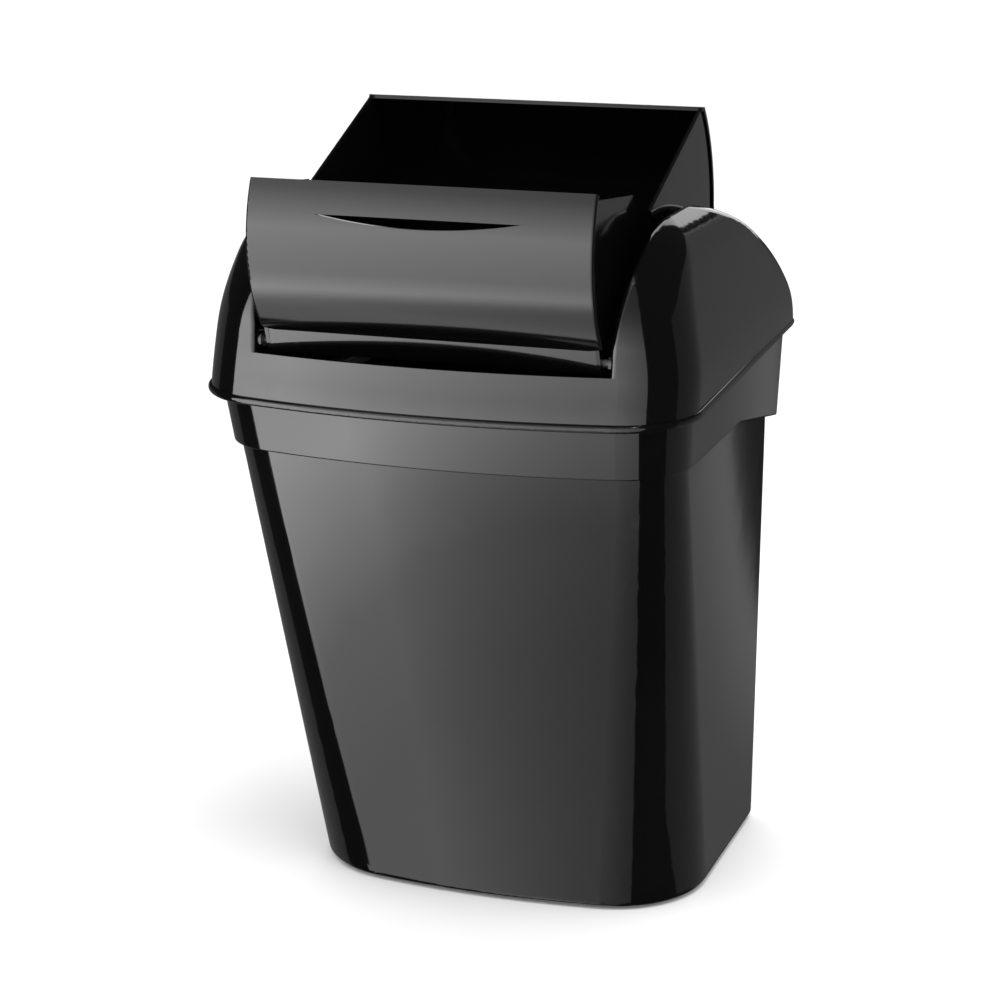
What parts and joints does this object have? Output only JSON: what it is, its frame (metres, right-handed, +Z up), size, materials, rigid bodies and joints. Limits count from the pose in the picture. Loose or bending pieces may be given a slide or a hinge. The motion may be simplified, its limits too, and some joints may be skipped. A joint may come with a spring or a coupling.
{
  "type": "hooded waste bin",
  "caption": "Gloss black dog waste bin: leaning bucket, domed hinged hood, split flap with finger slot, lift-out bag ring and rubber feet.",
  "frame": {"origin": "centre of the bounding box, on the plane the feet rest on", "axes": "+Z up, -Y is the front with the finger slot, +X the right side seen from behind"},
  "size_m": [0.4014, 0.424, 0.658],
  "materials": {
    "bucket_plastic": "gloss black moulded",
    "hood_plastic": "gloss black moulded",
    "flap_plastic": "gloss black moulded",
    "ring_plastic": "satin black moulded",
    "bush_plastic": "dark acetal",
    "steel": "plain steel pin",
    "foot_rubber": "moulded rubber"
  },
  "bodies": {
    "bin": {"bin_body": "bucket_plastic", "foot_front_left": "foot_rubber", "foot_front_right": "foot_rubber", "foot_rear_left": "foot_rubber", "foot_rear_right": "foot_rubber"},
    "hood": {"hood": "hood_plastic", "hood_hinge_pin_left": "steel", "hood_hinge_pin_right": "steel", "front_flap_bush_left": "bush_plastic", "front_flap_bush_right": "bush_plastic", "rear_flap_bush_left": "bush_plastic", "rear_flap_bush_right": "bush_plastic"},
    "front_leaf": {"front_flap": "flap_plastic", "front_flap_pin_left": "bush_plastic", "front_flap_pin_right": "bush_plastic"},
    "rear_leaf": {"rear_flap": "flap_plastic", "rear_flap_pin_left": "bush_plastic", "rear_flap_pin_right": "bush_plastic"},
    "bag_ring": {"bag_ring": "ring_plastic"}
  },
  "joints": [
    {"name": "hood_open", "type": "hinge", "parent": "bin", "child": "hood", "pos_m": [0, 0.205, 0.456], "axis": [-1, 0, 0], "range_deg": [0, 95]},
    {"name": "front_flap_close", "type": "hinge", "parent": "hood", "child": "front_leaf", "pos_m": [0, -0.173, 0.495], "axis": [-1, 0, 0], "range_deg": [0, 49]},
    {"name": "rear_flap_close", "type": "hinge", "parent": "hood", "child": "rear_leaf", "pos_m": [0, 0.041, 0.488], "axis": [1, 0, 0], "range_deg": [0, 60]},
    {"name": "bag_ring_lift", "type": "slide", "parent": "bin", "child": "bag_ring", "axis": [0, 0, 1], "range_m": [0, 0.014]}
  ],
  "couplings": [
    {"joint": "rear_flap_close", "follows": "front_flap_close", "ratio": 1.22}
  ]
}
